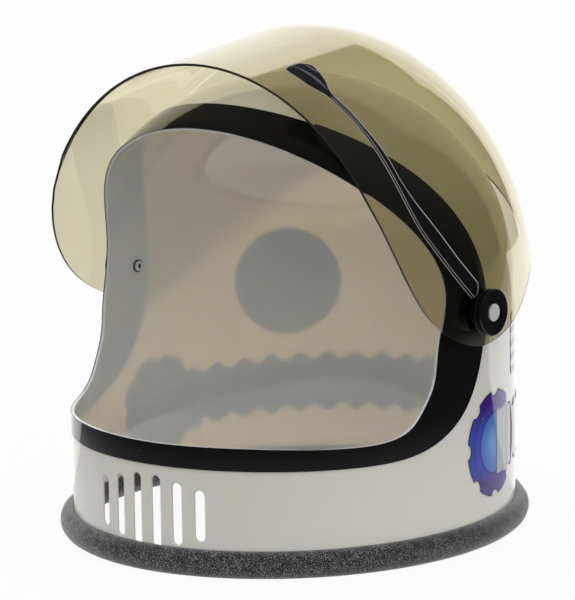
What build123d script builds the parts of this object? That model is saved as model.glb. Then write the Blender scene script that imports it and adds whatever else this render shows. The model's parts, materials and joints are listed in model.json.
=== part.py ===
from build123d import *
from math import atan2, cos, degrees, radians, sin, sqrt
import os

# Toy space helmet: a thin white bell with a face opening, a tinted visor that tilts on two side
# knobs, and a soft split-tube edging that it stands on. Front is -Y, the wearer's left is +X,
# and the origin is the middle of the base. Lengths are in millimetres, angles in degrees.

overrun = 6.0

# Shell
shell_half_width = 125.0
shell_half_depth = 137.15
shell_wall = 1.6
shell_wall_top = 144.0
shell_dome_rise = 121.3

# Face opening and the black trim round it, as seen from the side. Each point is a share of
# the shell's half depth and of its full height.
shell_height = shell_wall_top + shell_dome_rise
opening_edge_shares = (
    (-1.06, 0.275), (-0.80, 0.275), (-0.54, 0.2706), (-0.40, 0.2793), (-0.332, 0.2955),
    (-0.268, 0.333), (-0.216, 0.380), (-0.192, 0.452),
    (-0.150, 0.580), (-0.212, 0.672), (-0.402, 0.803), (-0.588, 0.916), (-0.75, 1.01),
)
trim_edge_shares = (
    (-1.06, 0.2295), (-0.80, 0.2275), (-0.60, 0.2267), (-0.46, 0.2284), (-0.34, 0.2344),
    (-0.190, 0.2567), (-0.026, 0.312), (0.074, 0.390),
    (0.128, 0.530), (0.050, 0.690), (-0.155, 0.838), (-0.422, 0.955), (-0.66, 1.045),
)
trim_thickness = 0.5

# Vents, upright round-ended slots low on the front
vent_width = 6.4
vent_pitch = 13.6
vent_height = 34.0
vent_lengths = (41.5, 35.9, 29.5)

# Edging, a slit foam tube pushed over the shell's lower rim
edging_radius = 7.85
edging_bore = 2.6
edging_flat = 0.5
slit_clearance = 0.25
butt_gap = 0.6

# Pivot axis, across the helmet, a little below the foot of the dome
pivot_setback = 6.9
pivot_drop = 5.7

# Visor, modelled lowered and then raised to where it rests
visor_sheet = 1.5
visor_side_gap = 4.1
visor_front_gap = 3.85
visor_lead = 1.4
visor_skirt = 75.4
visor_cap_lift = 13.7
visor_crown_gap = 0.9
visor_raise = 83.8

# Visor outline seen from the side, from the front of the lower edge back to the pivot lobe and
# up the rear edge. Lower points are shares of half depth and skirt, upper ones of half depth
# and crown height, all measured from the pivot.
lower_edge_shares = ((0.62, -1.0), (0.335, -0.925), (0.06, -0.665), (-0.085, -0.30), (-0.147, 0.0))
rear_edge_shares = ((-0.124, 0.195), (-0.015, 0.40), (0.18, 0.725), (0.42, 0.94), (0.68, 1.10))

# Pivot hardware, the same on both sides
rivet_shank = 2.4
rivet_head = 5.0
rivet_head_height = 1.0
rivet_tail = 3.0
rivet_tail_height = 1.0
rivet_clearance = 0.05
collar_radius = 3.8
collar_thickness = 0.9
hub_radius = 4.0
hub_clearance = 0.08
spacer_radius = 11.0
washer_radius = 9.0
washer_thickness = 0.8
running_gap = 0.15
knob_neck = 10.0
knob_neck_length = 1.2
knob_radius = 13.5
knob_back_radius = 13.1
knob_back_length = 2.3
knob_groove = 12.2
knob_groove_length = 0.7
knob_front_length = 2.6
knob_round = 0.9
recess_radius = 7.2
recess_depth = 0.9

# Printed film stuck to the shell and visor. The coupling on the right sits further forward
# and lower, so the hose leans up from it to the middle of the back.
film = 0.25
film_gap = 0.4
coupling_radius = 31.0
coupling_left_back = 29.5
coupling_left_height = 57.0
coupling_right_back = 23.0
coupling_right_height = 50.0
hose_width = 37.0
hose_rear_height = 57.0
badge_radius = 33.0
badge_gap = 10.3
badge_bearing = 134.5
patch_length = 58.0
patch_width = 36.0
patch_round = 3.0
patch_gap = 15.5
patch_bearing = 32.0

# Microphone-shaped film on the visor's left side, outlined as seen from the side in shares of
# the visor's half depth and skirt from the pivot, front pod first
mic_upper_shares = (
    (1.012, -0.50), (1.007, -0.385), (0.985, -0.385), (0.950, -0.475), (0.910, -0.555),
    (0.76, -0.568), (0.58, -0.575), (0.46, -0.500), (0.34, -0.345), (0.20, -0.130), (0.12, -0.060),
)
mic_lower_shares = (
    (0.075, -0.125), (0.115, -0.235), (0.23, -0.390), (0.35, -0.505), (0.47, -0.600), (0.60, -0.660),
    (0.76, -0.640), (0.910, -0.625), (0.955, -0.652), (0.990, -0.655),
)

# Worked-out places
edging_centre = edging_radius - edging_flat
shell_base = edging_centre - edging_bore + slit_clearance
slit_width = shell_wall + 2 * slit_clearance
slit_depth = edging_bore + edging_radius + overrun
pivot_height = shell_wall_top - pivot_drop
visor_offset = pivot_setback + visor_lead
visor_half_width = shell_half_width + visor_side_gap + visor_sheet
reach_in_front = shell_half_depth + visor_front_gap
reach_over_dome = shell_height - pivot_height + visor_crown_gap - visor_offset
visor_half_depth = max(reach_in_front, reach_over_dome) + visor_sheet
visor_cap_base = shell_wall_top + visor_cap_lift
visor_top = shell_height + visor_crown_gap + visor_sheet
visor_crown = visor_top - pivot_height
pivot_axis = Axis((0, pivot_setback, pivot_height), (1, 0, 0))
span = 2 * (shell_half_width + shell_half_depth)

lobe_share = (visor_offset + spacer_radius) / visor_half_depth
visor_seat = visor_half_width * sqrt(1 - lobe_share**2) - visor_sheet - running_gap
spacer_face = visor_seat - washer_thickness
outer_washer_foot = visor_half_width + running_gap
knob_foot = outer_washer_foot + washer_thickness
knob_back = knob_foot + knob_neck_length
knob_slot = knob_back + knob_back_length
knob_front = knob_slot + knob_groove_length
knob_face = knob_front + knob_front_length
inner_wall_at_pivot = (shell_half_width - shell_wall) * sqrt(
    1 - (pivot_setback / (shell_half_depth - shell_wall)) ** 2
)
collar_foot = inner_wall_at_pivot - collar_thickness
rivet_end = collar_foot - rivet_tail_height
hose_top = hose_rear_height + hose_width / 2
badge_height = hose_top + badge_gap + badge_radius
patch_height = hose_top + patch_gap + patch_width / 2


def bell(half_width, half_depth, low, wall_top, rise):
    """Solid bell: an upright elliptical wall with half an ellipsoid on top of it."""
    with BuildPart() as form:
        with BuildSketch(Plane.XZ):
            with BuildLine():
                side = Line((half_width, low), (half_width, wall_top))
                crown = EllipticalCenterArc((0, wall_top), half_width, rise, 0, arc_size=90)
                Polyline(crown @ 1, (0, low), side @ 0)
            make_face()
        revolve(axis=Axis.Z)
        scale(by=(1, half_depth / half_width, 1))
    return form.part


def shell_form(grow, low):
    """The shell's outer form, grown outward by a thickness."""
    return bell(
        shell_half_width + grow, shell_half_depth + grow, low, shell_wall_top, shell_dome_rise + grow
    )


def visor_form(grow, low):
    """The lowered visor's outer form, grown outward by a thickness."""
    form = bell(
        visor_half_width + grow, visor_half_depth + grow, low,
        visor_cap_base, visor_top + grow - visor_cap_base,
    )
    return form.moved(Location((0, -visor_lead, 0)))


def side_prism(points):
    """Everything in front of a curve that is drawn as seen from the side."""
    with BuildPart() as prism:
        with BuildSketch(Plane.YZ):
            with BuildLine():
                edge = Spline(*points)
                Polyline(edge @ 1, (-span, (edge @ 1).Y), (-span, (edge @ 0).Y), edge @ 0)
            make_face()
        extrude(amount=span, both=True)
    return prism.part


def shell_points(shares):
    return [(depth * shell_half_depth, up * shell_height) for depth, up in shares]


def visor_points(shares, rise):
    return [
        (pivot_setback - front * visor_half_depth, pivot_height + up * rise) for front, up in shares
    ]


def wall_plane(bearing, height):
    """Plane on the shell's wall where the wall faces a bearing, x level and y up."""
    across, along = cos(radians(bearing)), sin(radians(bearing))
    reach = sqrt((shell_half_width * across) ** 2 + (shell_half_depth * along) ** 2)
    foot = (shell_half_width**2 * across / reach, shell_half_depth**2 * along / reach, height)
    return Plane(origin=foot, x_dir=(-along, across, 0), z_dir=(across, along, 0))


def pivot_disc(radius, near, far):
    """Round disc on the pivot axis between two distances from the middle."""
    with BuildPart() as disc:
        with BuildSketch(Plane.YZ.offset(near)):
            with Locations((pivot_setback, pivot_height)):
                Circle(radius)
        extrude(amount=far - near)
    return disc.part


def finish(part, name):
    part.label = name
    export_step(part, f"parts/{name}.step")


os.makedirs("parts", exist_ok=True)

opening = side_prism(shell_points(opening_edge_shares))
trim_field = side_prism(shell_points(trim_edge_shares))
rivet_hole = pivot_disc(rivet_shank + rivet_clearance, -span, span)

# Shell
with BuildPart() as shell:
    add(shell_form(0, shell_base))
    add(shell_form(-shell_wall, shell_base - overrun), mode=Mode.SUBTRACT)
    add(opening, mode=Mode.SUBTRACT)
    add(rivet_hole, mode=Mode.SUBTRACT)
    for place, length in enumerate(vent_lengths):
        reach = (place + 0.5) * vent_pitch
        with BuildSketch(Plane.XZ.offset(shell_half_depth + overrun)):
            with Locations((reach, vent_height), (-reach, vent_height)):
                SlotOverall(length, vent_width, rotation=90)
        extrude(amount=-(shell_half_depth / 2), mode=Mode.SUBTRACT)
finish(shell.part, "shell")

# Black trim stuck round the face opening
with BuildPart() as face_trim:
    add(shell_form(trim_thickness, shell_base))
    add(shell_form(0, shell_base - overrun), mode=Mode.SUBTRACT)
    add(trim_field, mode=Mode.INTERSECT)
    add(opening, mode=Mode.SUBTRACT)
    add(rivet_hole, mode=Mode.SUBTRACT)
finish(face_trim.part, "face_trim")

# Foam edging, slit on top for the shell's rim, cut flat below and butted at the back
with BuildPart() as neck_edging:
    with BuildLine() as rim_path:
        EllipticalCenterArc((0, 0, edging_centre), shell_half_width, shell_half_depth, 0, arc_size=360)
    with BuildSketch(Plane(origin=(shell_half_width, 0, edging_centre), x_dir=(1, 0, 0), z_dir=(0, 1, 0))):
        Circle(edging_radius)
        with Locations((-shell_wall / 2, 0)):
            Circle(edging_bore, mode=Mode.SUBTRACT)
        with Locations((-shell_wall / 2, edging_bore)):
            Rectangle(slit_width, slit_depth, align=(Align.CENTER, Align.MAX), mode=Mode.SUBTRACT)
    sweep(path=rim_path.line)
    split(bisect_by=Plane.XY)
    with Locations((0, shell_half_depth, edging_centre)):
        Box(butt_gap, 3 * edging_radius, 3 * edging_radius, mode=Mode.SUBTRACT)
finish(neck_edging.part, "neck_edging")

# Visor, cut to its outline while lowered, then raised
visor_field = side_prism(
    visor_points(lower_edge_shares, visor_skirt) + visor_points(rear_edge_shares, visor_crown)
)
visor_foot = pivot_height - visor_skirt
hub_hole = pivot_disc(hub_radius + hub_clearance, -span, span)

with BuildPart() as visor_lowered:
    add(visor_form(0, visor_foot))
    add(visor_form(-visor_sheet, visor_foot - overrun), mode=Mode.SUBTRACT)
    add(visor_field, mode=Mode.INTERSECT)
    add(hub_hole, mode=Mode.SUBTRACT)

with BuildPart() as visor:
    add(visor_lowered.part.rotate(pivot_axis, -visor_raise))
finish(visor.part, "visor")

# Microphone-shaped film on the visor
with BuildPart() as mic_field:
    with BuildSketch(Plane.YZ):
        with BuildLine():
            upper = Spline(*visor_points(mic_upper_shares, visor_skirt))
            lower = Spline(*visor_points(mic_lower_shares, visor_skirt))
            Line(upper @ 1, lower @ 0)
            Line(lower @ 1, upper @ 0)
        make_face()
    extrude(amount=span)

with BuildPart() as mic_lowered:
    add(visor_form(film, visor_foot))
    add(visor_form(0, visor_foot - overrun), mode=Mode.SUBTRACT)
    add(mic_field.part, mode=Mode.INTERSECT)

with BuildPart() as mic_film:
    add(mic_lowered.part.rotate(pivot_axis, -visor_raise))
finish(mic_film.part, "mic_film")

# Pivot hardware on the left side: spacer with its hub, washers, knob, rivet and collar
with BuildPart() as spacer_left:
    add(pivot_disc(spacer_radius, collar_foot, spacer_face))
    add(pivot_disc(hub_radius, collar_foot, outer_washer_foot))
    add(shell_form(trim_thickness, shell_base), mode=Mode.SUBTRACT)
    add(rivet_hole, mode=Mode.SUBTRACT)

with BuildPart() as washers_left:
    add(pivot_disc(washer_radius, spacer_face, visor_seat))
    add(pivot_disc(washer_radius, outer_washer_foot, knob_foot))
    add(pivot_disc(hub_radius + rivet_clearance, spacer_face, visor_seat), mode=Mode.SUBTRACT)
    add(rivet_hole, mode=Mode.SUBTRACT)

with BuildPart() as knob_left:
    add(pivot_disc(knob_neck, knob_foot, knob_back))
    add(pivot_disc(knob_back_radius, knob_back, knob_slot))
    add(pivot_disc(knob_groove, knob_slot, knob_front))
    add(pivot_disc(knob_radius, knob_front, knob_face))
    rim = edges().filter_by(GeomType.CIRCLE).filter_by(lambda e: e.radius == knob_radius)
    fillet(rim, radius=knob_round)
    add(pivot_disc(recess_radius, knob_face - recess_depth, knob_face + overrun), mode=Mode.SUBTRACT)
    add(rivet_hole, mode=Mode.SUBTRACT)

with BuildPart() as rivet_left:
    head_foot = knob_face - recess_depth
    add(pivot_disc(rivet_head, head_foot, head_foot + rivet_head_height))
    fillet(faces().sort_by(Axis.X)[-1].edges(), radius=rivet_head_height / 2)
    add(pivot_disc(rivet_shank, collar_foot, head_foot))
    add(pivot_disc(rivet_tail, rivet_end, collar_foot))
    fillet(faces().sort_by(Axis.X)[0].edges(), radius=rivet_tail_height / 2)

with BuildPart() as collar_left:
    add(pivot_disc(collar_radius, collar_foot, shell_half_width))
    add(shell_form(-shell_wall, shell_base), mode=Mode.INTERSECT)
    add(rivet_hole, mode=Mode.SUBTRACT)

hardware = {
    "pivot_spacer": spacer_left,
    "friction_washers": washers_left,
    "pivot_knob": knob_left,
    "pivot_rivet": rivet_left,
    "rivet_collar": collar_left,
}
for name, piece in hardware.items():
    finish(piece.part, f"{name}_left")
    with BuildPart() as other_side:
        mirror(piece.part, about=Plane.YZ)
    finish(other_side.part, f"{name}_right")


def shell_film(field):
    """Thin film that lies on the shell inside a field."""
    with BuildPart() as sheet:
        add(shell_form(film, shell_base))
        add(shell_form(0, shell_base - overrun), mode=Mode.SUBTRACT)
        add(field, mode=Mode.INTERSECT)
    return sheet


def side_prints(side, outward, back, height):
    """Round hose coupling printed on one side, and the hose from it to the middle of the back."""
    with BuildPart() as coupling_field:
        with BuildSketch(Plane.YZ):
            with Locations((back, height)):
                Circle(coupling_radius)
        extrude(amount=outward * span)
    coupling_film = shell_film(coupling_field.part)
    finish(coupling_film.part, f"coupling_film_{side}")

    lean = degrees(atan2(hose_rear_height - height, shell_half_depth - back))
    with BuildPart() as hose_field:
        with BuildSketch(Plane.YZ.offset(outward * film_gap / 2)):
            with Locations(Location((back, height, 0), (0, 0, lean))):
                Rectangle(span, hose_width, align=(Align.MIN, Align.CENTER))
                Circle(coupling_radius + film_gap, mode=Mode.SUBTRACT)
        extrude(amount=outward * span)
    hose_film = shell_film(hose_field.part)
    finish(hose_film.part, f"hose_film_{side}")


side_prints("left", 1, coupling_left_back, coupling_left_height)
side_prints("right", -1, coupling_right_back, coupling_right_height)

# Round badge and striped patch on the rear quarters
with BuildPart() as badge_field:
    with BuildSketch(wall_plane(badge_bearing, badge_height)):
        Circle(badge_radius)
    extrude(amount=badge_radius, both=True)
badge_film = shell_film(badge_field.part)
finish(badge_film.part, "badge_film")

with BuildPart() as patch_field:
    with BuildSketch(wall_plane(patch_bearing, patch_height)):
        RectangleRounded(patch_length, patch_width, patch_round)
    extrude(amount=patch_length / 2, both=True)
patch_film = shell_film(patch_field.part)
finish(patch_film.part, "patch_film")
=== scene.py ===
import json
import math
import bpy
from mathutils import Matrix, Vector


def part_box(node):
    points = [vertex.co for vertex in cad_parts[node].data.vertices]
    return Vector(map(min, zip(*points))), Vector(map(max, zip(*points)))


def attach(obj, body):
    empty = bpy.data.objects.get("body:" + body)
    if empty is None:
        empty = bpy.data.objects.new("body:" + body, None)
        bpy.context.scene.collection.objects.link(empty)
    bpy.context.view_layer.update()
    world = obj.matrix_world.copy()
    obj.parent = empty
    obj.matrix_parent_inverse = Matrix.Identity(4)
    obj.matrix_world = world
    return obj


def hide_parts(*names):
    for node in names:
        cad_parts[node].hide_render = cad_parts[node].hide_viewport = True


bl_info = {
    "name": "Toy space helmet",
    "version": (1, 0, 0),
    "blender": (4, 5, 0),
    "location": "3D View > Sidebar > Helmet",
    "description": "Dresses the packed helmet: visor, prints, foam edging, finishes and a plain stage",
    "category": "Object",
}

import bpy
import numpy as np
from bpy.props import FloatProperty, FloatVectorProperty, IntProperty, PointerProperty
from mathutils import Matrix, Vector, noise

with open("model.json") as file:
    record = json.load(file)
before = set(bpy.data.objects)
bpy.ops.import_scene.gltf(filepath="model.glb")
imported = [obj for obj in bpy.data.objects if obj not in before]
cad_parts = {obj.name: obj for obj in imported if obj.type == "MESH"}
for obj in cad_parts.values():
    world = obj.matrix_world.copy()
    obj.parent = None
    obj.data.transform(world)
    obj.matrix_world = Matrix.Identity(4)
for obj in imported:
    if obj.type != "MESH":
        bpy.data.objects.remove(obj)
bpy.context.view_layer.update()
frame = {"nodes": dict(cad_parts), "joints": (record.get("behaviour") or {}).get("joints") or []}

# Places that come from the frame. Front is -Y, the wearer's left is +X, and lengths are metres.
mm = 0.001
nodes = frame["nodes"]
tilt = frame["joints"][0]
pivot = Vector(tilt["pos_m"])
visor_raise = math.radians(tilt["range_deg"][1])
shell_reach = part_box("shell")[1]
visor_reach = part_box("visor")[1]

# The shell's upright wall ends at this height, and half an ellipsoid stands on it.
wall_top = 144 * mm
wall_thickness = 1.6 * mm

# Places of the prints on the shell: back from the middle and up for the couplings, and the way
# that the wall faces there and the height for the badge and the patch.
coupling_centres = {"left": (29.5 * mm, 57.0 * mm), "right": (23.0 * mm, 50.0 * mm)}
coupling_radius = 31.0 * mm
hose_rear_height = 57.0 * mm
badge_bearing, badge_height = math.radians(134.5), 118.8 * mm
patch_bearing, patch_height = math.radians(32.0), 109.0 * mm


class Bell:
    """An upright elliptical wall with half an ellipsoid on top of it."""

    def __init__(self, half_width, half_depth, wall_top, rise, lead=0.0):
        self.half_width, self.half_depth = half_width, half_depth
        self.wall_top, self.rise, self.lead = wall_top, rise, lead

    def grown(self, by):
        """The same form with a skin of that thickness on it."""
        return Bell(self.half_width + by, self.half_depth + by, self.wall_top, self.rise + by, self.lead)

    def narrowing(self, height):
        """Share of its full plan that the form still has at a height."""
        above = np.maximum(height - self.wall_top, 0.0) / self.rise
        return np.sqrt(np.maximum(1.0 - above**2, 0.0))

    def at(self, turn, height):
        """Point at a height, turned from the front towards the wearer's left."""
        turn, height = np.broadcast_arrays(np.asarray(turn, float), np.asarray(height, float))
        share = self.narrowing(height)
        across = self.half_width * share * np.sin(turn)
        along = -self.lead - self.half_depth * share * np.cos(turn)
        return np.stack([across, along, height], -1)

    def beside(self, along, height, side=1):
        """Point on one side that is seen there from the side."""
        share = self.narrowing(height) ** 2 - ((along + self.lead) / self.half_depth) ** 2
        return np.stack([side * self.half_width * np.sqrt(np.maximum(share, 0.0)), along, height], -1)

    def out_from(self, foot, direction):
        """Where lines from points inside, all in one direction, come out through the surface."""
        scale = np.array([1 / self.half_width, 1 / self.half_depth, 1 / self.rise])
        middle = np.array([0.0, -self.lead, self.wall_top])
        start = (np.asarray(foot) - middle) * scale
        step = np.asarray(direction) * scale
        start[..., 2] = np.maximum(start[..., 2], 0.0)
        a, b, c = (step @ step), start @ step, (start**2).sum(-1) - 1.0
        reach = (-b + np.sqrt(np.maximum(b * b - a * c, 0.0))) / a
        return np.asarray(foot) + reach[..., None] * np.asarray(direction)


shell_bell = Bell(shell_reach.x, shell_reach.y, wall_top, shell_reach.z - wall_top)


def operator_pair(operation):
    """A Python operator that adds a Math node, and its reflected form."""
    def plain(wire, other):
        return wire.maths(operation, other)

    def reflected(wire, other):
        return wire.finish.node("ShaderNodeMath", {"operation": operation}, {0: other, 1: wire})

    return plain, reflected


class Wire:
    """A shader socket that Python's operators work on by adding Math nodes."""

    def __init__(self, finish, socket):
        self.finish, self.socket = finish, socket

    def maths(self, operation, *others):
        """The result of a Math node whose first value is this one."""
        values = dict(enumerate((self, *others)))
        return self.finish.node("ShaderNodeMath", {"operation": operation}, values)

    __add__, __radd__ = operator_pair("ADD")
    __sub__, __rsub__ = operator_pair("SUBTRACT")
    __mul__, __rmul__ = operator_pair("MULTIPLY")
    __truediv__, __rtruediv__ = operator_pair("DIVIDE")
    __pow__, __rpow__ = operator_pair("POWER")

    def over(self, edge, blur):
        """0 below an edge and 1 above it, with a soft step of a given width."""
        limits = {"Value": self, "From Min": edge - blur / 2, "From Max": edge + blur / 2}
        return self.finish.node("ShaderNodeMapRange", {"interpolation_type": "SMOOTHSTEP"}, limits)


class Finish:
    """The node tree of a material or of the world."""

    def __init__(self, owner):
        self.owner = owner
        owner.use_nodes = True
        self.tree = owner.node_tree
        self.tree.nodes.clear()

    def node(self, kind, settings=None, sockets=None, output=0):
        """Adds a node, makes its settings, then gives its sockets values or links."""
        made = self.tree.nodes.new(kind)
        for key, value in (settings or {}).items():
            setattr(made, key, value)
        for key, value in (sockets or {}).items():
            socket = made.inputs[key]
            if isinstance(value, Wire):
                self.tree.links.new(value.socket, socket)
            elif socket.type == "RGBA" and len(value) == 3:
                socket.default_value = (*value, 1.0)
            else:
                socket.default_value = value
        return Wire(self, made.outputs[output])

    def place(self):
        """The point on the piece, in metres."""
        return self.node("ShaderNodeTexCoord", output="Object")

    def grain(self, size, detail=2.0, roughness=0.5):
        """Even noise with grains of about a given size."""
        sockets = {"Vector": self.place(), "Scale": 1 / size, "Detail": detail, "Roughness": roughness}
        return self.node("ShaderNodeTexNoise", {}, sockets)

    def split(self, vector):
        """The x, y and z of a vector."""
        parts = self.node("ShaderNodeSeparateXYZ", {}, {"Vector": vector})
        return [Wire(self, parts.socket.node.outputs[axis]) for axis in "XYZ"]

    def blend(self, share, first, second):
        """A colour between two colours."""
        return self.node("ShaderNodeMix", {"data_type": "RGBA"}, {0: share, 6: first, 7: second}, output=2)

    def grey(self, value):
        """A grey colour of a given value."""
        return self.node("ShaderNodeCombineColor", {}, {"Red": value, "Green": value, "Blue": value})

    def bump(self, height, depth, strength=1.0, normal=None):
        """A normal that follows a height of a given depth."""
        sockets = {"Height": height, "Distance": depth, "Strength": strength}
        if normal:
            sockets["Normal"] = normal
        return self.node("ShaderNodeBump", {}, sockets)

    def principled(self, **sockets):
        """The Principled shader, with sockets named in lower case."""
        named = {key.replace("_", " ").title(): value for key, value in sockets.items()}
        named["IOR"] = named.pop("Ior", 1.5)
        return self.node("ShaderNodeBsdfPrincipled", {}, named)

    def show(self, shader):
        """Puts a shader on the surface."""
        kind = "World" if isinstance(self.owner, bpy.types.World) else "Material"
        end = self.tree.nodes.new("ShaderNodeOutput" + kind)
        self.tree.links.new(shader.socket, end.inputs["Surface"])
        return self.owner


# Colour of the dust on films and mouldings
dust_grey = (0.5, 0.5, 0.48)


def new_finish(name):
    """A new material's node tree."""
    return Finish(bpy.data.materials.new(name))


def shaded(colour, factor):
    """A colour times a factor."""
    return tuple(factor * part for part in colour)


def moulded_plastic(name, colour, glow, smear, edge_round):
    """Glossy moulded sheet that lets a little light through."""
    finish = new_finish(name)
    warm = tuple(part * share for part, share in zip(colour, (0.985, 0.97, 0.93)))
    clouds, smudges, waves = finish.grain(60 * mm), finish.grain(8 * mm), finish.grain(25 * mm, detail=1.0)
    rounded = finish.node("ShaderNodeBevel", {"samples": 4}, {"Radius": edge_round})
    return finish.show(finish.principled(
        base_color=finish.blend(clouds, colour, warm), roughness=smear + 0.06 * smudges,
        normal=finish.bump(waves, depth=0.03 * mm, strength=0.5, normal=rounded),
        subsurface_weight=1.0, subsurface_radius=(1.0, 0.74, 0.5), subsurface_scale=glow,
    ))


def gloss_film(name, colour, smear=0.04, dust=0.0, second=None, mix=None):
    """Smooth film or gloss moulding with faint smears and dust, and a second colour where mix gives it."""
    finish = new_finish(name)
    specks = finish.grain(1.4 * mm, detail=3.0, roughness=0.7).over(0.74, blur=0.03) * dust
    ink = finish.blend(mix(finish), colour, second) if mix else colour
    smudges, waves = finish.grain(5 * mm) * finish.grain(20 * mm), finish.grain(9 * mm, detail=1.0)
    return finish.show(finish.principled(
        base_color=finish.blend(specks, ink, dust_grey), roughness=smear + 0.1 * smudges,
        normal=finish.bump(waves, depth=0.02 * mm, strength=0.4),
    ))


def tinted_clear(name, tint, smear=0.02):
    """Clear sheet with a smoke tint and specks of haze."""
    finish = new_finish(name)
    haze = finish.grain(1.1 * mm, detail=3.0, roughness=0.75).over(0.73, blur=0.03)
    return finish.show(finish.principled(
        base_color=tint, roughness=smear + 0.25 * haze, transmission_weight=1.0, ior=1.585,
    ))


def frosted_metal(name, colour, metallic, roughness=0.4, dimple=0.9 * mm, shade=None):
    """Bright metal with the fine dimples of a pressed and tumbled rivet, and painted shade, nearly black,
    where the shade mask gives it.
    """
    finish = new_finish(name)
    pits = finish.grain(dimple, detail=3.0, roughness=0.6)
    colour_here = finish.blend(pits, shaded(colour, 0.8), colour)
    if shade:
        # Painted shade: nearly black where the mask marks the sunken middle of a rivet's end.
        colour_here = finish.blend(shade(finish), colour_here, shaded(colour, 0.04))
    return finish.show(finish.principled(
        base_color=colour_here, metallic=metallic, roughness=roughness + 0.25 * pits,
        normal=finish.bump(pits, depth=0.12 * mm, strength=0.8),
    ))


def speckled_foam(name, dark, light, grain):
    """Dark foam skin with pale flecks and shallow pores."""
    finish = new_finish(name)
    fleck = finish.grain(grain, detail=4.0, roughness=0.8)
    patch = finish.grain(9 * grain, detail=2.0, roughness=0.6)
    share = (fleck + 0.1 * (patch - 0.5)).over(0.58, blur=0.09)
    return finish.show(finish.principled(
        base_color=finish.blend(share, dark, light), roughness=0.34 + 0.2 * fleck,
        normal=finish.bump(fleck, depth=0.3 * mm), sheen_weight=1.0, sheen_roughness=0.25,
    ))


def matt_nylon(name, colour):
    """Dull stiff washer sheet."""
    finish = new_finish(name)
    grit = finish.grain(0.6 * mm, detail=3.0)
    return finish.show(finish.principled(
        base_color=finish.blend(grit, colour, shaded(colour, 1.5)), roughness=0.5 + 0.2 * grit,
        normal=finish.bump(grit, depth=0.05 * mm, strength=0.5),
    ))


def grid_faces(rows, columns, start=0, closed=False, flip=False):
    """Quads between rows of points, with the last column joined to the first if closed."""
    faces = []
    for row in range(rows - 1):
        for column in range(columns if closed else columns - 1):
            a = start + row * columns + column
            b = start + row * columns + (column + 1) % columns
            quad = (a, b, b + columns, a + columns)
            faces.append(quad[::-1] if flip else quad)
    return faces


def full_turn(count):
    """Angles that divide a full turn evenly."""
    return np.linspace(0, 2 * math.pi, count, endpoint=False)


def add_piece(name, points, faces, finishes, marks=None, sharp=35.0):
    """Makes an object from points and faces, with sharp edges where faces meet at an angle."""
    mesh = bpy.data.meshes.new(name)
    mesh.from_pydata(np.reshape(points, (-1, 3)).tolist(), [], faces)
    for finish in finishes:
        mesh.materials.append(finish)
    if marks is not None:
        mesh.polygons.foreach_set("material_index", marks)
    mesh.polygons.foreach_set("use_smooth", [True] * len(mesh.polygons))
    mesh.update()
    mesh.set_sharp_from_angle(angle=math.radians(sharp))
    piece = bpy.data.objects.new(name, mesh)
    bpy.context.scene.collection.objects.link(piece)
    return piece


def settle(piece):
    """Makes a piece's modifiers part of its mesh."""
    graph = bpy.context.evaluated_depsgraph_get()
    graph.update()
    mesh = bpy.data.meshes.new_from_object(piece.evaluated_get(graph))
    piece.modifiers.clear()
    piece.data = mesh


def thicken(piece, thickness):
    """Gives a sheet its thickness, inwards."""
    solid = piece.modifiers.new("thickness", "SOLIDIFY")
    solid.thickness, solid.offset, solid.use_even_offset = thickness, -1.0, True
    settle(piece)


def smooth_line(points, count):
    """Points on a natural cubic spline through the given points."""
    points = np.array(points, float)
    knots = np.concatenate([[0.0], np.cumsum(np.linalg.norm(np.diff(points, axis=0), axis=1))])
    gaps, last = np.diff(knots), len(knots) - 1
    system, load = np.eye(last + 1), np.zeros_like(points)
    for i in range(1, last):
        system[i, i - 1:i + 2] = gaps[i - 1], 2 * (gaps[i - 1] + gaps[i]), gaps[i]
        load[i] = 6 * ((points[i + 1] - points[i]) / gaps[i] - (points[i] - points[i - 1]) / gaps[i - 1])
    bend = np.linalg.solve(system, load)
    where = np.linspace(0.0, knots[-1], count)
    span = np.clip(np.searchsorted(knots, where) - 1, 0, last - 1)
    gap = gaps[span][:, None]
    ahead = (where - knots[span])[:, None] / gap
    back = 1 - ahead
    curve = (back**3 - back) * bend[span] + (ahead**3 - ahead) * bend[span + 1]
    return back * points[span] + ahead * points[span + 1] + curve * gap**2 / 6


def paint(node, finish):
    """Puts a finish on every slot of a CAD node."""
    for slot in nodes[node].material_slots:
        slot.material = finish


def dress(piece, body, slot, *stands_for):
    """Seats a piece on its body and hides the CAD nodes that it stands for."""
    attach(piece, body)
    if stands_for:
        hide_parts(*stands_for)


def length_setting(name, description, default):
    """A length that a user may change."""
    return FloatProperty(name=name, description=description, unit="LENGTH", default=default, precision=5)


def colour_setting(name, description, default):
    """A colour that a user may change."""
    return FloatVectorProperty(
        name=name, description=description, subtype="COLOR", default=default, min=0, max=1
    )


def number_setting(name, description, default):
    """A plain number that a user may change."""
    return FloatProperty(name=name, description=description, default=default)


def angle_setting(name, description, degrees):
    """An angle that a user may change."""
    return FloatProperty(
        name=name, description=description, subtype="ANGLE", default=math.radians(degrees)
    )


class ShellSettings(bpy.types.PropertyGroup):
    colour: colour_setting("Colour", "Colour of the moulded shell", (0.84, 0.82, 0.785))
    trim: colour_setting("Trim", "Colour of the strip round the face opening", (0.0055, 0.0055, 0.005))
    glow: length_setting("Glow depth", "How far light travels in the shell's wall", 3.6 * mm)
    smear: number_setting("Smear", "Least roughness of the surface", 0.03)
    edge_round: length_setting("Edge rounding", "Rounding that is shaded on cut edges", 0.5 * mm)


class HardwareSettings(bpy.types.PropertyGroup):
    knob: colour_setting("Knobs", "Colour of the knobs and spacers", (0.006, 0.006, 0.006))
    rivet: colour_setting("Rivets", "Colour of the rivets", (0.88, 0.88, 0.87))
    collar: colour_setting("Collars", "Colour of the rivets' collars", (0.16, 0.16, 0.16))
    washer: colour_setting("Washers", "Colour of the friction washers", (0.03, 0.03, 0.03))


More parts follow.
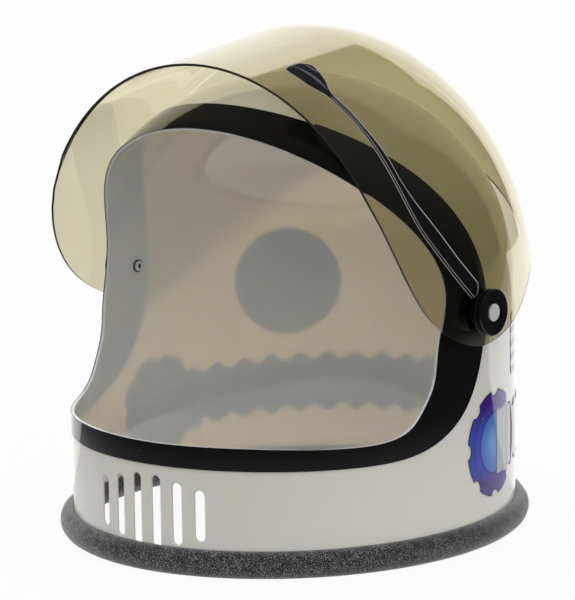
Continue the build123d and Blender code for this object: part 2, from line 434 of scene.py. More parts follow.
class VisorSettings(bpy.types.PropertyGroup):
    tint: colour_setting(
        "Tint", "Share of light that one thickness of the sheet lets through", (0.695, 0.655, 0.465)
    )
    edge: colour_setting("Edge", "Colour of the cut edge", (0.035, 0.03, 0.022))
    sheet: length_setting("Sheet", "Thickness of the sheet", 1.5 * mm)
    front_gap: length_setting("Front gap", "Air between shell and bowl at the front", 3.85 * mm)
    lead: length_setting("Lead", "How far the lowered bowl's middle lies before the shell's", 1.4 * mm)
    skirt: length_setting("Skirt", "Height of the lowered bowl below the pivot", 75.4 * mm)
    cap_lift: length_setting("Cap lift", "Height of the bowl's upright wall above the shell's", 13.7 * mm)
    crown: length_setting("Crown", "Height of the lowered bowl above the pivot", 129.4 * mm)
    hub_hole: length_setting("Hub hole", "Radius of the holes that the hubs turn in", 4.08 * mm)


class PrintSettings(bpy.types.PropertyGroup):
    film: length_setting("Film", "Thickness of the printed film", 0.25 * mm)
    line: length_setting("Outline", "Width of the printed outlines", 0.36 * mm)
    notches: IntProperty(name="Notches", description="Notches round each coupling", default=8)
    ribs: IntProperty(name="Ribs", description="Ribs of each hose strip", default=9)
    outline: colour_setting("Outline ink", "Colour of the couplings' outlines", (0.012, 0.012, 0.02))
    hose: colour_setting("Hose", "Colour of the hose", (0.52, 0.53, 0.53))
    groove: colour_setting("Groove", "Colour of the hose's grooves", (0.40, 0.41, 0.42))
    left_ring: colour_setting("Left ring", "Colour of the left coupling's ring", (0.025, 0.06, 0.48))
    left_dome: colour_setting("Left dome", "Colour of the left coupling's dome", (0.17, 0.40, 0.80))
    right_ring: colour_setting("Right ring", "Colour of the right coupling's ring", (0.42, 0.03, 0.03))
    right_dome: colour_setting("Right dome", "Colour of the right coupling's dome", (0.78, 0.25, 0.20))
    badge: colour_setting("Badge", "Colour of the badge", (0.02, 0.035, 0.13))
    badge_ring: colour_setting("Badge rings", "Colour of the badge's rings", (0.72, 0.72, 0.70))
    patch: colour_setting("Patch", "Colour of the patch", (0.30, 0.33, 0.38))
    patch_stripe: colour_setting("Patch stripes", "Colour of the patch's stripes", (0.74, 0.74, 0.72))
    microphone: colour_setting("Microphone", "Colour of the microphone", (0.006, 0.006, 0.008))
    microphone_line: colour_setting("Microphone line", "Colour of its outlines", (0.42, 0.42, 0.41))


class EdgingSettings(bpy.types.PropertyGroup):
    radius: length_setting("Radius", "Radius of the foam tube", 7.85 * mm)
    inner_share: number_setting(
        "Inner height", "Height of the tube's inner half as a share of the outer's", 0.8
    )
    grain: length_setting("Fleck", "Size of the foam's flecks", 0.58 * mm)
    dark: colour_setting("Dark", "Colour of the foam", (0.005, 0.005, 0.0053))
    light: colour_setting("Flecks", "Colour of the flecks", (0.6, 0.6, 0.61))


class StageSettings(bpy.types.PropertyGroup):
    azimuth: angle_setting("Azimuth", "Camera's turn from the front to the wearer's left", 37.78)
    elevation: angle_setting("Elevation", "Camera's height above the horizon", 11.01)
    roll: angle_setting("Roll", "Camera's lean", -0.8)
    place: FloatVectorProperty(
        name="Place", description="Camera's place", subtype="XYZ", unit="LENGTH",
        default=(1.4586, -1.8869, 0.5958),
    )
    lens: number_setting("Lens", "Focal length in millimetres", 250.3)
    ambient: number_setting("Ambient", "Light from all round", 0.44)
    overhead: number_setting("Overhead", "Light that is added high on the right", 1.5)
    backlight: number_setting("Backlight", "Light that is added from behind", 0.3)
    side: number_setting("Side", "Light that is added low on the left", 0.8)
    backdrop: number_setting("Backdrop", "The sheet behind, as reflected", 1.2)
    room: number_setting("Room", "The rest of the room, as reflected", 0.03)
    floor: number_setting("Floor", "Share of light that the floor sends back", 0.05)
    bounce: number_setting("Bounce", "Light that the lit floor adds", 0.22)


class HELMET_OT_stage(bpy.types.Operator):
    """Sets the floor, the white backdrop, the soft lights and the camera"""

    bl_idname = "helmet.stage"
    bl_label = "Stage"

    # Bearings are in degrees from straight behind the helmet towards the wearer's left. A light
    # has its bearing, its elevation and how narrow it is.
    high_light, rear_light, side_light = (-75, 60, 3), (-60, 35, 2), (100, 15, 2)
    # The white sheet behind: the bearings that it spans, and the direction and share that its top
    # rises towards, given as a light is
    sheet_bearings, sheet_top, sheet_fall = (-80, 3), (-8, 0, 1), 0.82
    # A dim upright strip on the left, its height and its shine, and the faint shine of the ceiling
    strip_bearings, strip_height, strip_shine = (49, 53), 0.1, 0.5
    ceiling_shine = 0.08
    # Where the floor is seen to mirror the sheet, and the reach in metres and the shine of the bright
    # floor round the helmet
    floor_bearings, ring_reach, ring_shine = (-97, 29.5), 0.33, 0.8
    # The floor to the eye: its own white, and the share of light that keeps the shadow
    floor_white, floor_shadow = 0.94, 0.035

    def execute(self, context):
        stage = context.scene.helmet_stage
        context.scene.view_settings.view_transform = "Standard"
        self.world(context.scene, stage)
        self.floor(stage)
        self.camera(context.scene, stage)
        return {"FINISHED"}

    def rays(self, finish):
        """Shares of the rays that see the stage plainly or through glass, in reflections and as light."""
        outputs = finish.node("ShaderNodeLightPath").socket.node.outputs
        kind = {name: Wire(finish, outputs[name]) for name in outputs.keys()}
        unscattered, unmirrored = (
            1 - depth.maths("MINIMUM", 1.0) for depth in (kind["Diffuse Depth"], kind["Glossy Depth"])
        )
        through = kind["Is Transmission Ray"] * unscattered * unmirrored
        seen = through.maths("MAXIMUM", kind["Is Camera Ray"])
        mirrored = (1 - seen) * kind["Is Glossy Ray"] * unscattered
        return seen, mirrored, 1 - seen - mirrored

    def lobe(self, place, bearing, elevation, narrowness):
        """Grows from 0 to 1 towards a direction; bearings run from the back to the wearer's left."""
        bearing, elevation = math.radians(bearing), math.radians(elevation)
        level = math.cos(elevation)
        aim = (math.sin(bearing) * level, math.cos(bearing) * level, math.sin(elevation))
        near = sum(part * share for part, share in zip(place, aim))
        return near.maths("MAXIMUM", 0.0) ** narrowness

    def between(self, bearing, left, right):
        """1 between two bearings in degrees, and 0 outside them."""
        from_left, past_right = (bearing.over(math.radians(edge), blur=0.02) for edge in (left, right))
        return from_left * (1 - past_right)

    def world(self, scene, stage):
        """White to the eye and through glass, a lit white sheet behind, and soft light elsewhere."""
        finish = Finish(bpy.data.worlds.new("studio"))
        seen, mirrored, lighting = self.rays(finish)
        place = x, y, z = finish.split(finish.node("ShaderNodeTexCoord", output="Generated"))
        bearing = x.maths("ARCTAN2", y)
        above_sheet = (z - self.sheet_fall * self.lobe(place, *self.sheet_top)).over(0.0, blur=0.02)
        sheet = self.between(bearing, *self.sheet_bearings) * (1 - above_sheet)
        strip = self.between(bearing, *self.strip_bearings) * (1 - z.over(self.strip_height, blur=0.2))
        ceiling = z.maths("MAXIMUM", 0.0)
        shine = (
            stage.room + sheet * stage.backdrop + strip * self.strip_shine + ceiling * self.ceiling_shine
        )
        high = self.lobe(place, *self.high_light) * stage.overhead
        rear = self.lobe(place, *self.rear_light) * stage.backlight
        side = self.lobe(place, *self.side_light) * stage.side
        light = seen + mirrored * shine + lighting * (stage.ambient + high + rear + side)
        shader = finish.node("ShaderNodeBackground", {}, {"Color": (1, 1, 1), "Strength": light})
        scene.world = finish.show(shader)

    def floor(self, stage):
        """A pale floor that is white to the eye and keeps the helmet's shadow."""
        reach, count = 3.0, 9
        line = np.linspace(-reach, reach, count)
        points = [(x, y, 0.0) for y in line for x in line]
        finish = new_finish("pale_floor")
        seen, mirrored, lighting = self.rays(finish)
        x, y, _ = finish.split(finish.place())
        behind = self.between(x.maths("ARCTAN2", y), *self.floor_bearings) * stage.backdrop
        ring = (1 - ((x * x + y * y) ** 0.5).over(self.ring_reach, blur=0.3)) * self.ring_shine
        shine = stage.room + behind.maths("MAXIMUM", ring)
        glow = self.floor_white * seen + mirrored * shine + lighting * stage.bounce
        albedo = self.floor_shadow * seen + lighting * stage.floor
        matt = finish.node("ShaderNodeBsdfDiffuse", {}, {"Color": finish.grey(albedo)})
        glowing = finish.node("ShaderNodeEmission", {}, {"Color": (1, 1, 1), "Strength": glow})
        surface = finish.show(finish.node("ShaderNodeAddShader", {}, {0: matt, 1: glowing}))
        add_piece("floor", points, grid_faces(count, count), [surface])

    def camera(self, scene, stage):
        """The camera stands where the photograph was taken from."""
        a, e, r = stage.azimuth, stage.elevation, stage.roll
        back = Vector((math.sin(a) * math.cos(e), -math.cos(a) * math.cos(e), math.sin(e)))
        level = Vector((math.cos(a), math.sin(a), 0.0))
        up = back.cross(level)
        right = level * math.cos(r) + up * math.sin(r)
        top = up * math.cos(r) - level * math.sin(r)
        lens = bpy.data.cameras.new("camera")
        lens.lens, lens.sensor_width = stage.lens, 36.0
        lens.clip_end = 20.0
        camera = bpy.data.objects.new("camera", lens)
        facing = Matrix((right, top, back)).transposed().to_4x4()
        camera.matrix_world = Matrix.Translation(Vector(stage.place)) @ facing
        scene.collection.objects.link(camera)
        scene.camera = camera


class HELMET_OT_shell(bpy.types.Operator):
    """Gives the shell its glossy moulded finish and the trim its black film"""

    bl_idname = "helmet.shell"
    bl_label = "Shell and trim"

    def execute(self, context):
        shell = context.scene.helmet_shell
        plastic = moulded_plastic("shell_plastic", shell.colour, shell.glow, shell.smear, shell.edge_round)
        paint("shell", plastic)
        paint("face_trim", gloss_film("trim_film", shell.trim, dust=0.35))
        return {"FINISHED"}


class HELMET_OT_hardware(bpy.types.Operator):
    """Gives the knobs, spacers, washers, rivets and collars their finishes"""

    bl_idname = "helmet.hardware"
    bl_label = "Pivot hardware"

    def execute(self, context):
        hardware = context.scene.helmet_hardware
        knob = gloss_film("knob_plastic", hardware.knob, smear=0.1, dust=0.15)
        finishes = {
            "pivot_knob": knob,
            "pivot_spacer": knob,
            "friction_washers": matt_nylon("washer_nylon", hardware.washer),
            "pivot_rivet": frosted_metal("rivet_metal", hardware.rivet, metallic=0.35, shade=self.eye),
            "rivet_collar": frosted_metal("collar_metal", hardware.collar, metallic=0.5),
        }
        for name, finish in finishes.items():
            for side in ("left", "right"):
                paint(f"{name}_{side}", finish)
        return {"FINISHED"}

    def eye(self, finish):
        """Painted shade: 1 in the sunken middle of the rivets' inner ends, which the rivet's finish paints
        nearly black.
        """
        eye_radius = 1.4 * mm
        x, y, z = finish.split(finish.place())
        away = ((y - pivot.y) ** 2 + (z - pivot.z) ** 2) ** 0.5
        outer_end = x.maths("ABSOLUTE").over(shell_reach.x - 1 * mm, blur=1 * mm)
        return (1 - away.over(eye_radius, blur=0.5 * mm)) * (1 - outer_end)


# The visor's outline, as in the solid: forward of the pivot and up, in shares of the bowl's half
# depth and of its skirt or crown.
skirt_edge_shares = ((0.62, -1.0), (0.335, -0.925), (0.06, -0.665), (-0.085, -0.30), (-0.147, 0.0))
crown_edge_shares = ((-0.124, 0.195), (-0.015, 0.40), (0.18, 0.725), (0.42, 0.94), (0.68, 1.10))


def lowered_bowl(visor):
    """The outer form of the visor when it is down."""
    top = pivot.z + visor.crown
    base = wall_top + visor.cap_lift
    half_depth = shell_reach.y + visor.front_gap + visor.sheet
    return Bell(visor_reach.x, half_depth, base, top - base, visor.lead)


def raised(points):
    """Points of the lowered visor turned up to where it rests."""
    turn = Matrix.Rotation(-visor_raise, 3, "X")
    offset = np.array(pivot)
    return (np.reshape(points, (-1, 3)) - offset) @ np.array(turn).T + offset


class HELMET_OT_visor(bpy.types.Operator):
    """Builds the tinted visor and the microphone print on it"""

    bl_idname = "helmet.visor"
    bl_label = "Visor"

    def execute(self, context):
        visor = context.scene.helmet_visor
        prints = context.scene.helmet_prints
        sheet = self.sheet(visor)
        self.bore(sheet, visor.hub_hole)
        dress(sheet, "visor", "visor_tint", "visor")
        self.microphone(visor, prints)
        return {"FINISHED"}

    def sheet(self, visor, rows=150, columns=181):
        """Two bowls, one inside the other, joined by the cut edge."""
        bowl = lowered_bowl(visor)
        stations = [(forward, up * visor.skirt) for forward, up in skirt_edge_shares]
        stations += [(forward, up * visor.crown) for forward, up in crown_edge_shares]
        edge = smooth_line([(forward * bowl.half_depth, up) for forward, up in stations], 600)
        skins = [self.skin(form, edge, visor, rows, columns) for form in (bowl, bowl.grown(-visor.sheet))]
        count = rows * columns
        faces_out = grid_faces(rows, columns)
        faces_in = grid_faces(rows, columns, start=count, flip=True)
        grid = np.arange(count).reshape(rows, columns)
        loop = np.concatenate([grid[0], grid[1:, -1], grid[-1, -2::-1], grid[-2:0:-1, 0]]).tolist()
        rim = [(b, a, a + count, b + count) for a, b in zip(loop, loop[1:] + loop[:1])]
        finishes = [
            tinted_clear("smoke_sheet", visor.tint), gloss_film("smoke_edge", visor.edge, smear=0.2),
        ]
        marks = [0] * (len(faces_out) + len(faces_in)) + [1] * len(rim)
        points = raised(np.concatenate(skins))
        return add_piece("visor_sheet", points, faces_out + faces_in + rim, finishes, marks)

    def skin(self, form, edge, visor, rows, columns):
        """Rows of points at steady heights, from one rear edge round the front to the other."""
        def half_turn(height):
            front = np.interp(height - pivot.z, edge[:, 1], edge[:, 0]) - (visor.lead + pivot.y)
            return np.arccos(np.clip(front / (form.half_depth * form.narrowing(height)), -1, 1))

        # The highest row is where the sheet still spans a little to both sides of the front.
        base = low = pivot.z - visor.skirt
        high, least_turn = form.wall_top + form.rise, math.radians(1.5)
        for _ in range(50):
            middle = (low + high) / 2
            low, high = (middle, high) if half_turn(middle) > least_turn else (low, middle)
        heights = base + (low - base) * np.sin(np.linspace(0, math.pi / 2, rows))
        turns = half_turn(heights)[:, None] * np.linspace(-1, 1, columns)[None, :]
        return form.at(turns, heights[:, None]).reshape(-1, 3)

    def bore(self, sheet, radius, count=48):
        """Opens the two holes that the hubs turn in."""
        reach = 2 * shell_reach.x
        ring = [(pivot.y + radius * math.cos(t), pivot.z + radius * math.sin(t)) for t in full_turn(count)]
        points = [(x, y, z) for x in (-reach, reach) for y, z in ring]
        faces = grid_faces(2, count, closed=True, flip=True)
        faces += [tuple(range(count)), tuple(range(2 * count - 1, count - 1, -1))]
        drill = add_piece("drill", points, faces, [])
        cut = sheet.modifiers.new("bore", "BOOLEAN")
        cut.operation, cut.object, cut.solver = "DIFFERENCE", drill, "EXACT"
        settle(sheet)
        bpy.data.objects.remove(drill)
        sheet.data.set_sharp_from_angle(angle=math.radians(35))

    # The microphone print's lower and upper edge: turn from the front in degrees, then millimetres
    # above the pivot.
    mic_low = (
        (16.76, -37.5), (17.04, -42.3), (18.4, -47.9), (21.9, -48.9), (26.0, -49.2), (28.7, -47.7),
        (31.2, -46.35), (34.6, -46.3), (39.3, -46.2), (43.9, -46.3), (48.4, -46.7), (53.9, -47.2),
        (59.6, -47.2), (66.3, -45.8), (74.9, -37.2), (81.6, -26.3), (85.3, -19.1), (89.2, -10.6),
    )
    mic_high = (
        (16.76, -35.8), (18.1, -30.4), (19.8, -28.1), (22.6, -30.3), (27.3, -36.4), (31.3, -41.5),
        (34.5, -41.8), (44.1, -41.7), (52.5, -41.1), (57.2, -41.4), (60.05, -40.4), (66.6, -34.6),
        (73.0, -26.3), (78.9, -17.6), (82.9, -10.0), (85.4, -5.0), (86.65, -3.4), (87.9, -4.0),
        (89.2, -8.0),
    )
    # Where the waist begins and ends and the stem begins, in degrees, and how far the stem's inner
    # line lies above its lower edge, in millimetres
    waist_start, waist_end, stem_start, stem_line = 22.6, 31.3, 31.4, 2.0
    # How much wider the upper outline is over the stem's end: turn from the front, then a factor
    wider_turns, wider_factors = (60, 66, 84, 88), (1, 1.5, 1.5, 1)
    # The colour of the soft streaks on the pod
    streak_colour = (0.085, 0.08, 0.1)

    def microphone(self, visor, prints):
        """The microphone print: a pod and a stem with pale outlines."""
        form = lowered_bowl(visor).grown(prints.film)
        turn = np.linspace(self.mic_low[0][0], self.mic_low[-1][0], 220)
        low, high = (
            np.interp(turn, *smooth_line(stations, 900).T) for stations in (self.mic_low, self.mic_high)
        )
        arc = form.half_depth / mm * math.radians(1)
        slope_low, slope_high = (np.sqrt(1 + (np.gradient(edge, turn) / arc) ** 2) for edge in (low, high))
        line = prints.line / mm
        line_high = line * np.interp(turn, self.wider_turns, self.wider_factors)
        inner = high - np.minimum(line_high * slope_high, (high - low) / 2)
        edges = [low]
        for reach in (line, self.stem_line - line / 2, self.stem_line + line / 2):
            edges.append(np.minimum(low + reach * slope_low, inner))
        edges += [edges[-1] + (inner - edges[-1]) * step / 5 for step in range(1, 5)]
        edges += [inner, high]
        heights = pivot.z + np.stack(edges) * mm
        points = raised(form.at(np.radians(turn)[None, :], heights))
        rows, columns = heights.shape
        station = turn[:-1]
        stem, waist = station > self.stem_start, (station > self.waist_start) & (station < self.waist_end)
        pale = np.zeros((rows - 1, columns - 1), int)
        pale[0], pale[2], pale[-1] = 1, stem, ~waist
        finishes = [
            gloss_film("mic_ink", prints.microphone, second=self.streak_colour, mix=self.pod_shine),
            gloss_film("mic_outline", prints.microphone_line),
        ]
        mic = add_piece("mic_print", points, grid_faces(rows, columns), finishes, pale.ravel().tolist())
        thicken(mic, 0.9 * prints.film)
        dress(mic, "visor", "film_black", "mic_film")

    def pod_shine(self, finish):
        """Two soft streaks along the upper side of the pod, bowed like it. Lengths are millimetres."""
        x, y = (part / mm for part in finish.split(finish.place())[:2])
        bow = (x - 50) ** 2 * 0.011
        long_streak = 1 - ((x - 52) / 14) ** 2 - ((y + bow + 46.4) / 1.7) ** 2
        short_streak = 1 - ((x - 46.5) / 6) ** 2 - ((y + 39.8) / 1.3) ** 2
        return long_streak.maths("MAXIMUM", short_streak).over(0.4, blur=0.8)


def wrapped(y, z, side, lift):
    """Points on the shell's side, lifted off it."""
    return shell_bell.grown(lift).beside(np.asarray(y), np.asarray(z), side)


def on_plane(bearing, height, across, up, lift):
    """Points of a flat pattern laid on the wall where it faces a bearing."""
    facing = np.array([math.cos(bearing), math.sin(bearing), 0.0])
    reach = math.hypot(shell_bell.half_width * facing[0], shell_bell.half_depth * facing[1])
    half_sizes = np.array([shell_bell.half_width, shell_bell.half_depth, 0.0])
    foot = half_sizes**2 * facing / reach + np.array([0.0, 0.0, height])
    level, upright = np.array([-facing[1], facing[0], 0.0]), np.array([0.0, 0.0, 1.0])
    inside = foot - facing * 30 * mm
    flat = inside + np.multiply.outer(across, level) + np.multiply.outer(up, upright)
    return shell_bell.grown(lift).out_from(flat, facing)


class HELMET_OT_prints(bpy.types.Operator):
    """Lays the printed hose, its couplings, the round badge and the striped patch on the shell"""

    bl_idname = "helmet.prints"
    bl_label = "Prints"

    # The colours that the couplings' rings and domes turn to at their edges
    ring_fades = {"left": (0.06, 0.01, 0.27), "right": (0.22, 0.012, 0.05)}
    dome_fades = {"left": (0.045, 0.16, 0.60), "right": (0.55, 0.07, 0.06)}
    # A coupling's notches: how deep, and half their width as a share of their spacing
    notch_depth, notch_half = 3.1 * mm, 0.175
    # A coupling's circles, as shares of its radius, with the finish outside each: 0 is the outline,
    # 1 the ring and 2 the dome
    circles = ((0.2, 2), (0.38, 2), (0.56, 0), (0.58, 1), (0.795, 0), (0.81, 1))
    # The ribs over a coupling's back half: where each starts behind its centre, half its height and
    # its finish, 0 for the outline, 3 for the hose and 4 for a groove
    rib_starts = (1.6, 2.1, 6.4, 10.6, 11.2, 15.6, 20.4, 21.0, 25.4, 30.6)
    rib_halves = (18.8, 18.8, 18.8, 18.8, 19.2, 20.0, 19.4, 18.2, 17.6, 18.6)
    rib_tones = (0, 3, 3, 4, 3, 4, 4, 3, 4)
    # The hose's mean half height, and how far its ribs swell from that
    hose_half, hose_swell = 16.4 * mm, 2.3 * mm
    # The badge's radius, its circles as shares of that, and which bands between them are pale
    badge_radius = 33.0 * mm
    badge_circles = (0.25, 0.5, 0.56, 0.60, 0.8, 0.90, 0.93, 1.0)
    badge_tones = (0, 1, 0, 0, 0, 1, 0)
    # The patch reaches this far forward and back of its middle
    patch_front, patch_rear, patch_width, patch_stripes = 21.5 * mm, 29.0 * mm, 36.0 * mm, 9

    def execute(self, context):
        prints = context.scene.helmet_prints
        ink = gloss_film("print_outline", prints.outline)
        grey, groove = gloss_film("hose_grey", prints.hose), gloss_film("hose_groove", prints.groove)
        for side, word, ring_name, dome_name in (
            (1, "left", "coupling_blue", "coupling_sky"), (-1, "right", "coupling_red", "coupling_rose"),
        ):
            ring_colour, dome_colour = getattr(prints, word + "_ring"), getattr(prints, word + "_dome")
            ring = gloss_film(ring_name, ring_colour, second=self.ring_fades[word], mix=self.off_middle)
            dome = gloss_film(dome_name, dome_colour, second=self.dome_fades[word], mix=self.off_centre)
            centre = coupling_centres[word]
            self.coupling(side, word, centre, [ink, ring, dome, grey, groove], prints)
            self.hose(side, word, centre, [grey, groove], prints)
        self.badge(prints)
        self.patch(prints)
        return {"FINISHED"}

    def off_middle(self, finish):
        """Grows towards the top and bottom of a coupling."""
        height = finish.split(finish.place())[2]
        away = (height - coupling_centres["left"][1]) / coupling_radius
        return (away * away).over(0.3, blur=0.6)

    def off_centre(self, finish):
        """Grows from the hose's end to the edge of a coupling's dome."""
        back, height = finish.split(finish.place())[1:]
        along = (back - coupling_centres["left"][0]) / coupling_radius
        up = (height - coupling_centres["left"][1]) / coupling_radius
        return ((up * up + along * along) ** 0.5).over(0.33, blur=0.6)

    def coupling(self, side, word, centre, finishes, prints):
        """A notched ring round a dome, with bolt marks, and the end of the hose that covers half of it."""
        turns = full_turn(720)
        phase = (turns * prints.notches / (2 * math.pi) + 0.5) % 1.0 - 0.5
        notch = np.maximum(1 - (phase / self.notch_half) ** 2, 0) ** 0.5
        rim = coupling_radius - self.notch_depth * notch
        radii = [np.minimum(share * coupling_radius, rim - 3.0 * prints.line) for share, _ in self.circles]
        radii += [rim - 1.8 * prints.line, rim]
        bands = [tone for _, tone in self.circles] + [0]
        y = centre[0] + np.stack(radii) * np.cos(turns)
        z = centre[1] + np.stack(radii) * np.sin(turns)
        rings = wrapped(y, z, side, prints.film).reshape(-1, 3)
        points = np.vstack([rings, wrapped(*centre, side, prints.film)])
        rows, columns = len(radii), len(turns)
        faces = grid_faces(rows, columns, closed=True, flip=side > 0)
        marks = [bands[face // columns] for face in range(len(faces))]
        fan = [(len(rings), column, (column + 1) % columns) for column in range(columns)]
        faces += fan if side > 0 else [face[::-1] for face in fan]
        marks += [2] * columns
        for more_points, more_faces, more_marks in (
            self.hose_end(side, centre, prints), self.bolts(side, centre, prints)
        ):
            faces += [tuple(len(points) + corner for corner in face) for face in more_faces]
            points = np.vstack([points, more_points])
            marks += more_marks
        disc = add_piece(f"coupling_print_{word}", points, faces, finishes, marks)
        thicken(disc, 0.4 * prints.film)
        dress(disc, "helmet", "film_blue" if side > 0 else "film_red", f"coupling_film_{word}")

    def hose_end(self, side, centre, prints):
        """The hose's first ribs, which lie over the back half of its coupling."""
        ups = np.linspace(-1, 1, 25)
        y = centre[0] + np.repeat(np.array(self.rib_starts)[:, None] * mm, len(ups), 1)
        z = centre[1] + np.array(self.rib_halves)[:, None] * mm * ups[None, :]
        points = wrapped(y, z, side, prints.film + 0.1 * mm).reshape(-1, 3)
        faces = grid_faces(len(self.rib_starts), len(ups), flip=side > 0)
        return points, faces, [self.rib_tones[face // (len(ups) - 1)] for face in range(len(faces))]

    def bolts(self, side, centre, prints):
        """A small ring inside each notch, on the coupling's uncovered half."""
        turns = full_turn(16)
        away, radii = 22.6 * mm, np.array([1.0, 1.4])[:, None] * mm
        points, faces, marks = [], [], []
        for step in range(prints.notches // 4, 3 * prints.notches // 4 + 1):
            turn = step * 2 * math.pi / prints.notches
            y = centre[0] + away * math.cos(turn) + radii * np.cos(turns)
            z = centre[1] + away * math.sin(turn) + radii * np.sin(turns)
            start = 2 * len(turns) * len(points)
            faces += grid_faces(2, len(turns), start=start, closed=True, flip=side > 0)
            points.append(wrapped(y, z, side, prints.film + 0.05 * mm).reshape(-1, 3))
            marks += [0] * len(turns)
        return np.vstack(points), faces, marks

    def hose(self, side, word, centre, finishes, prints):
        """A ribbed strip from the coupling round to the middle of the back."""
        back, height = centre
        gap, steps, coupling_share = 0.2 * mm, 12, 0.8
        first = math.pi / 2 + math.asin((back + coupling_radius * coupling_share) / shell_bell.half_depth)
        last = math.pi - gap / shell_bell.half_width
        columns = prints.ribs * steps + 1
        turns = np.linspace(first, last, columns)
        middle_y = -shell_bell.half_depth * np.cos(turns)
        middle = height + (hose_rear_height - height) * (middle_y - back) / (shell_bell.half_depth - back)
        half = self.hose_half + self.hose_swell * np.cos(np.linspace(0, prints.ribs * 2 * math.pi, columns))
        inset = half - prints.line
        ups = [-half, -inset] + [inset * step / 4 for step in range(-3, 4)] + [inset, half]
        heights = middle + np.stack(ups)
        points = shell_bell.grown(prints.film).at(side * turns[None, :], heights)
        # The strip's front end follows the coupling's rim.
        reach = coupling_radius + 0.4 * mm
        away = np.hypot(points[..., 1] - back, points[..., 2] - height)
        short = (away < reach) & (points[..., 1] < back + reach)
        along = back + np.sqrt(np.maximum(reach**2 - (heights - height) ** 2, 0))
        moved = wrapped(np.broadcast_to(along, heights.shape), heights, side, prints.film)
        points = np.where(short[..., None], moved, points)
        rows = len(ups)
        faces = grid_faces(rows, columns, flip=side > 0)
        marks = []
        for face in range(len(faces)):
            row, column = divmod(face, columns - 1)
            dip = column % steps in (steps // 2 - 1, steps // 2)
            marks.append(int(dip or row in (0, rows - 2)))
        strip = add_piece(f"hose_print_{word}", points, faces, finishes, marks)
        thicken(strip, 0.9 * prints.film)
        dress(strip, "helmet", "film_grey", f"hose_film_{word}")

    def badge(self, prints):
        """A plain dark disc with pale rings."""
        finishes = [gloss_film("badge_navy", prints.badge), gloss_film("badge_pale", prints.badge_ring)]
        turns, circles = full_turn(180), self.badge_radius * np.array(self.badge_circles)
        across = np.multiply.outer(circles, np.cos(turns))
        up = np.multiply.outer(circles, np.sin(turns))
        rings = on_plane(badge_bearing, badge_height, across, up, prints.film).reshape(-1, 3)
        centre = on_plane(badge_bearing, badge_height, np.zeros(1), np.zeros(1), prints.film)
        points, columns = np.vstack([rings, centre]), len(turns)
        faces = grid_faces(len(circles), columns, closed=True)
        marks = [self.badge_tones[face // columns] for face in range(len(faces))]
        faces += [(len(rings), column, (column + 1) % columns) for column in range(columns)]
        marks += [0] * columns
        disc = add_piece("badge_print", points, faces, finishes, marks)
        thicken(disc, 0.9 * prints.film)
        dress(disc, "helmet", "film_navy", "badge_film")

    def patch(self, prints):
        """A plain striped patch."""
        finishes = [gloss_film("patch_grey", prints.patch), gloss_film("patch_pale", prints.patch_stripe)]
        steps = 4
        across = np.linspace(-self.patch_front, self.patch_rear, 41)
        up = np.linspace(-self.patch_width / 2, self.patch_width / 2, steps * self.patch_stripes + 1)
        points = on_plane(patch_bearing, patch_height, *np.meshgrid(across, up), prints.film)
        faces = grid_faces(len(up), len(across))
        marks = [(face // (len(across) - 1) // steps) % 2 for face in range(len(faces))]
        patch = add_piece("patch_print", points, faces, finishes, marks)
        thicken(patch, 0.9 * prints.film)
        dress(patch, "helmet", "film_grey", "patch_film")


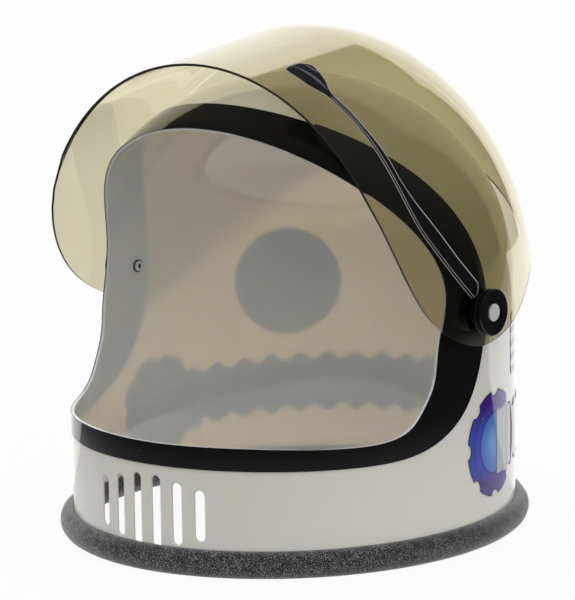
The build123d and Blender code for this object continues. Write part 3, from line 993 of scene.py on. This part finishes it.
class HELMET_OT_edging(bpy.types.Operator):
    """Builds the slit foam tube that the helmet stands on"""

    bl_idname = "helmet.edging"
    bl_label = "Foam edging"

    def execute(self, context):
        edging = context.scene.helmet_edging
        sole, slit = 0.5 * mm, 0.25 * mm
        centre = edging.radius - sole
        half_slit = slit + wall_thickness / 2
        lip, base = math.asin(half_slit / edging.radius), math.acos(centre / edging.radius)
        outside = np.linspace(lip, math.pi - base, 22)
        profile = [(math.sin(t) * edging.radius, centre + math.cos(t) * edging.radius) for t in outside]
        inside = [(-across, up * edging.inner_share) for across, up in reversed(profile)]
        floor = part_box("shell")[0].z - slit
        notch = [(across, floor + up) for across, up in (
            (-half_slit, 1.5 * mm), (-half_slit, 0.0), (half_slit, 0.0), (half_slit, 1.5 * mm)
        )]
        profile += inside + notch
        in_slit = half_slit + 1e-6
        profile = [(across - wall_thickness / 2 * (abs(across) <= in_slit), up) for across, up in profile]
        count, gap = 481, 0.3 * mm / shell_bell.half_width
        points = []
        for t in np.linspace(math.pi + gap, 3 * math.pi - gap, count):
            across, along = math.sin(t), -math.cos(t)
            out = Vector((across / shell_bell.half_width, along / shell_bell.half_depth, 0.0)).normalized()
            foot = Vector((across * shell_bell.half_width, along * shell_bell.half_depth, 0.0))
            for reach, up in profile:
                spot = foot + out * reach + Vector((0, 0, up))
                away = Vector((out.x * reach, out.y * reach, up - centre)).normalized()
                free = min(1.0, up / (2 * mm)) * (abs(reach + wall_thickness / 2) > in_slit)
                points.append(spot + away * (self.swell(spot) * free))
        rows = len(profile)
        faces = grid_faces(count, rows, closed=True)
        faces += [tuple(range(rows)), tuple(range((count - 1) * rows, count * rows))[::-1]]
        finish = speckled_foam("foam_skin", edging.dark, edging.light, edging.grain)
        tube = add_piece("foam_edging", [tuple(p) for p in points], faces, [finish], sharp=60)
        dress(tube, "helmet", "foam_grey", "neck_edging")
        return {"FINISHED"}

    def swell(self, spot):
        """How far the foam stands out at a point: slow waves and small ones."""
        return noise.noise(spot / (14 * mm)) * 0.22 * mm + noise.noise(spot / (2.2 * mm)) * 0.07 * mm


class HELMET_PT_panel(bpy.types.Panel):
    """Lists the helmet's parts and their settings"""

    bl_label = "Toy space helmet"
    bl_idname = "HELMET_PT_panel"
    bl_space_type = "VIEW_3D"
    bl_region_type = "UI"
    bl_category = "Helmet"

    def draw(self, context):
        for operator in operators:
            self.layout.operator(operator.bl_idname)
        for name, group in settings.items():
            box = self.layout.box()
            for key in group.__annotations__:
                box.prop(getattr(context.scene, name), key)


settings = {
    "helmet_stage": StageSettings,
    "helmet_shell": ShellSettings,
    "helmet_hardware": HardwareSettings,
    "helmet_visor": VisorSettings,
    "helmet_prints": PrintSettings,
    "helmet_edging": EdgingSettings,
}
operators = (
    HELMET_OT_stage, HELMET_OT_shell, HELMET_OT_hardware,
    HELMET_OT_visor, HELMET_OT_prints, HELMET_OT_edging,
)


def register():
    for name, group in settings.items():
        bpy.utils.register_class(group)
        setattr(bpy.types.Scene, name, PointerProperty(type=group))
    for operator in operators:
        bpy.utils.register_class(operator)
    bpy.utils.register_class(HELMET_PT_panel)


def unregister():
    bpy.utils.unregister_class(HELMET_PT_panel)
    for operator in reversed(operators):
        bpy.utils.unregister_class(operator)
    for name, group in settings.items():
        delattr(bpy.types.Scene, name)
        bpy.utils.unregister_class(group)


def main():
    register()
    bpy.ops.helmet.stage()
    bpy.ops.helmet.shell()
    bpy.ops.helmet.hardware()
    bpy.ops.helmet.visor()
    bpy.ops.helmet.prints()
    bpy.ops.helmet.edging()


if __name__ == "__main__":
    main()
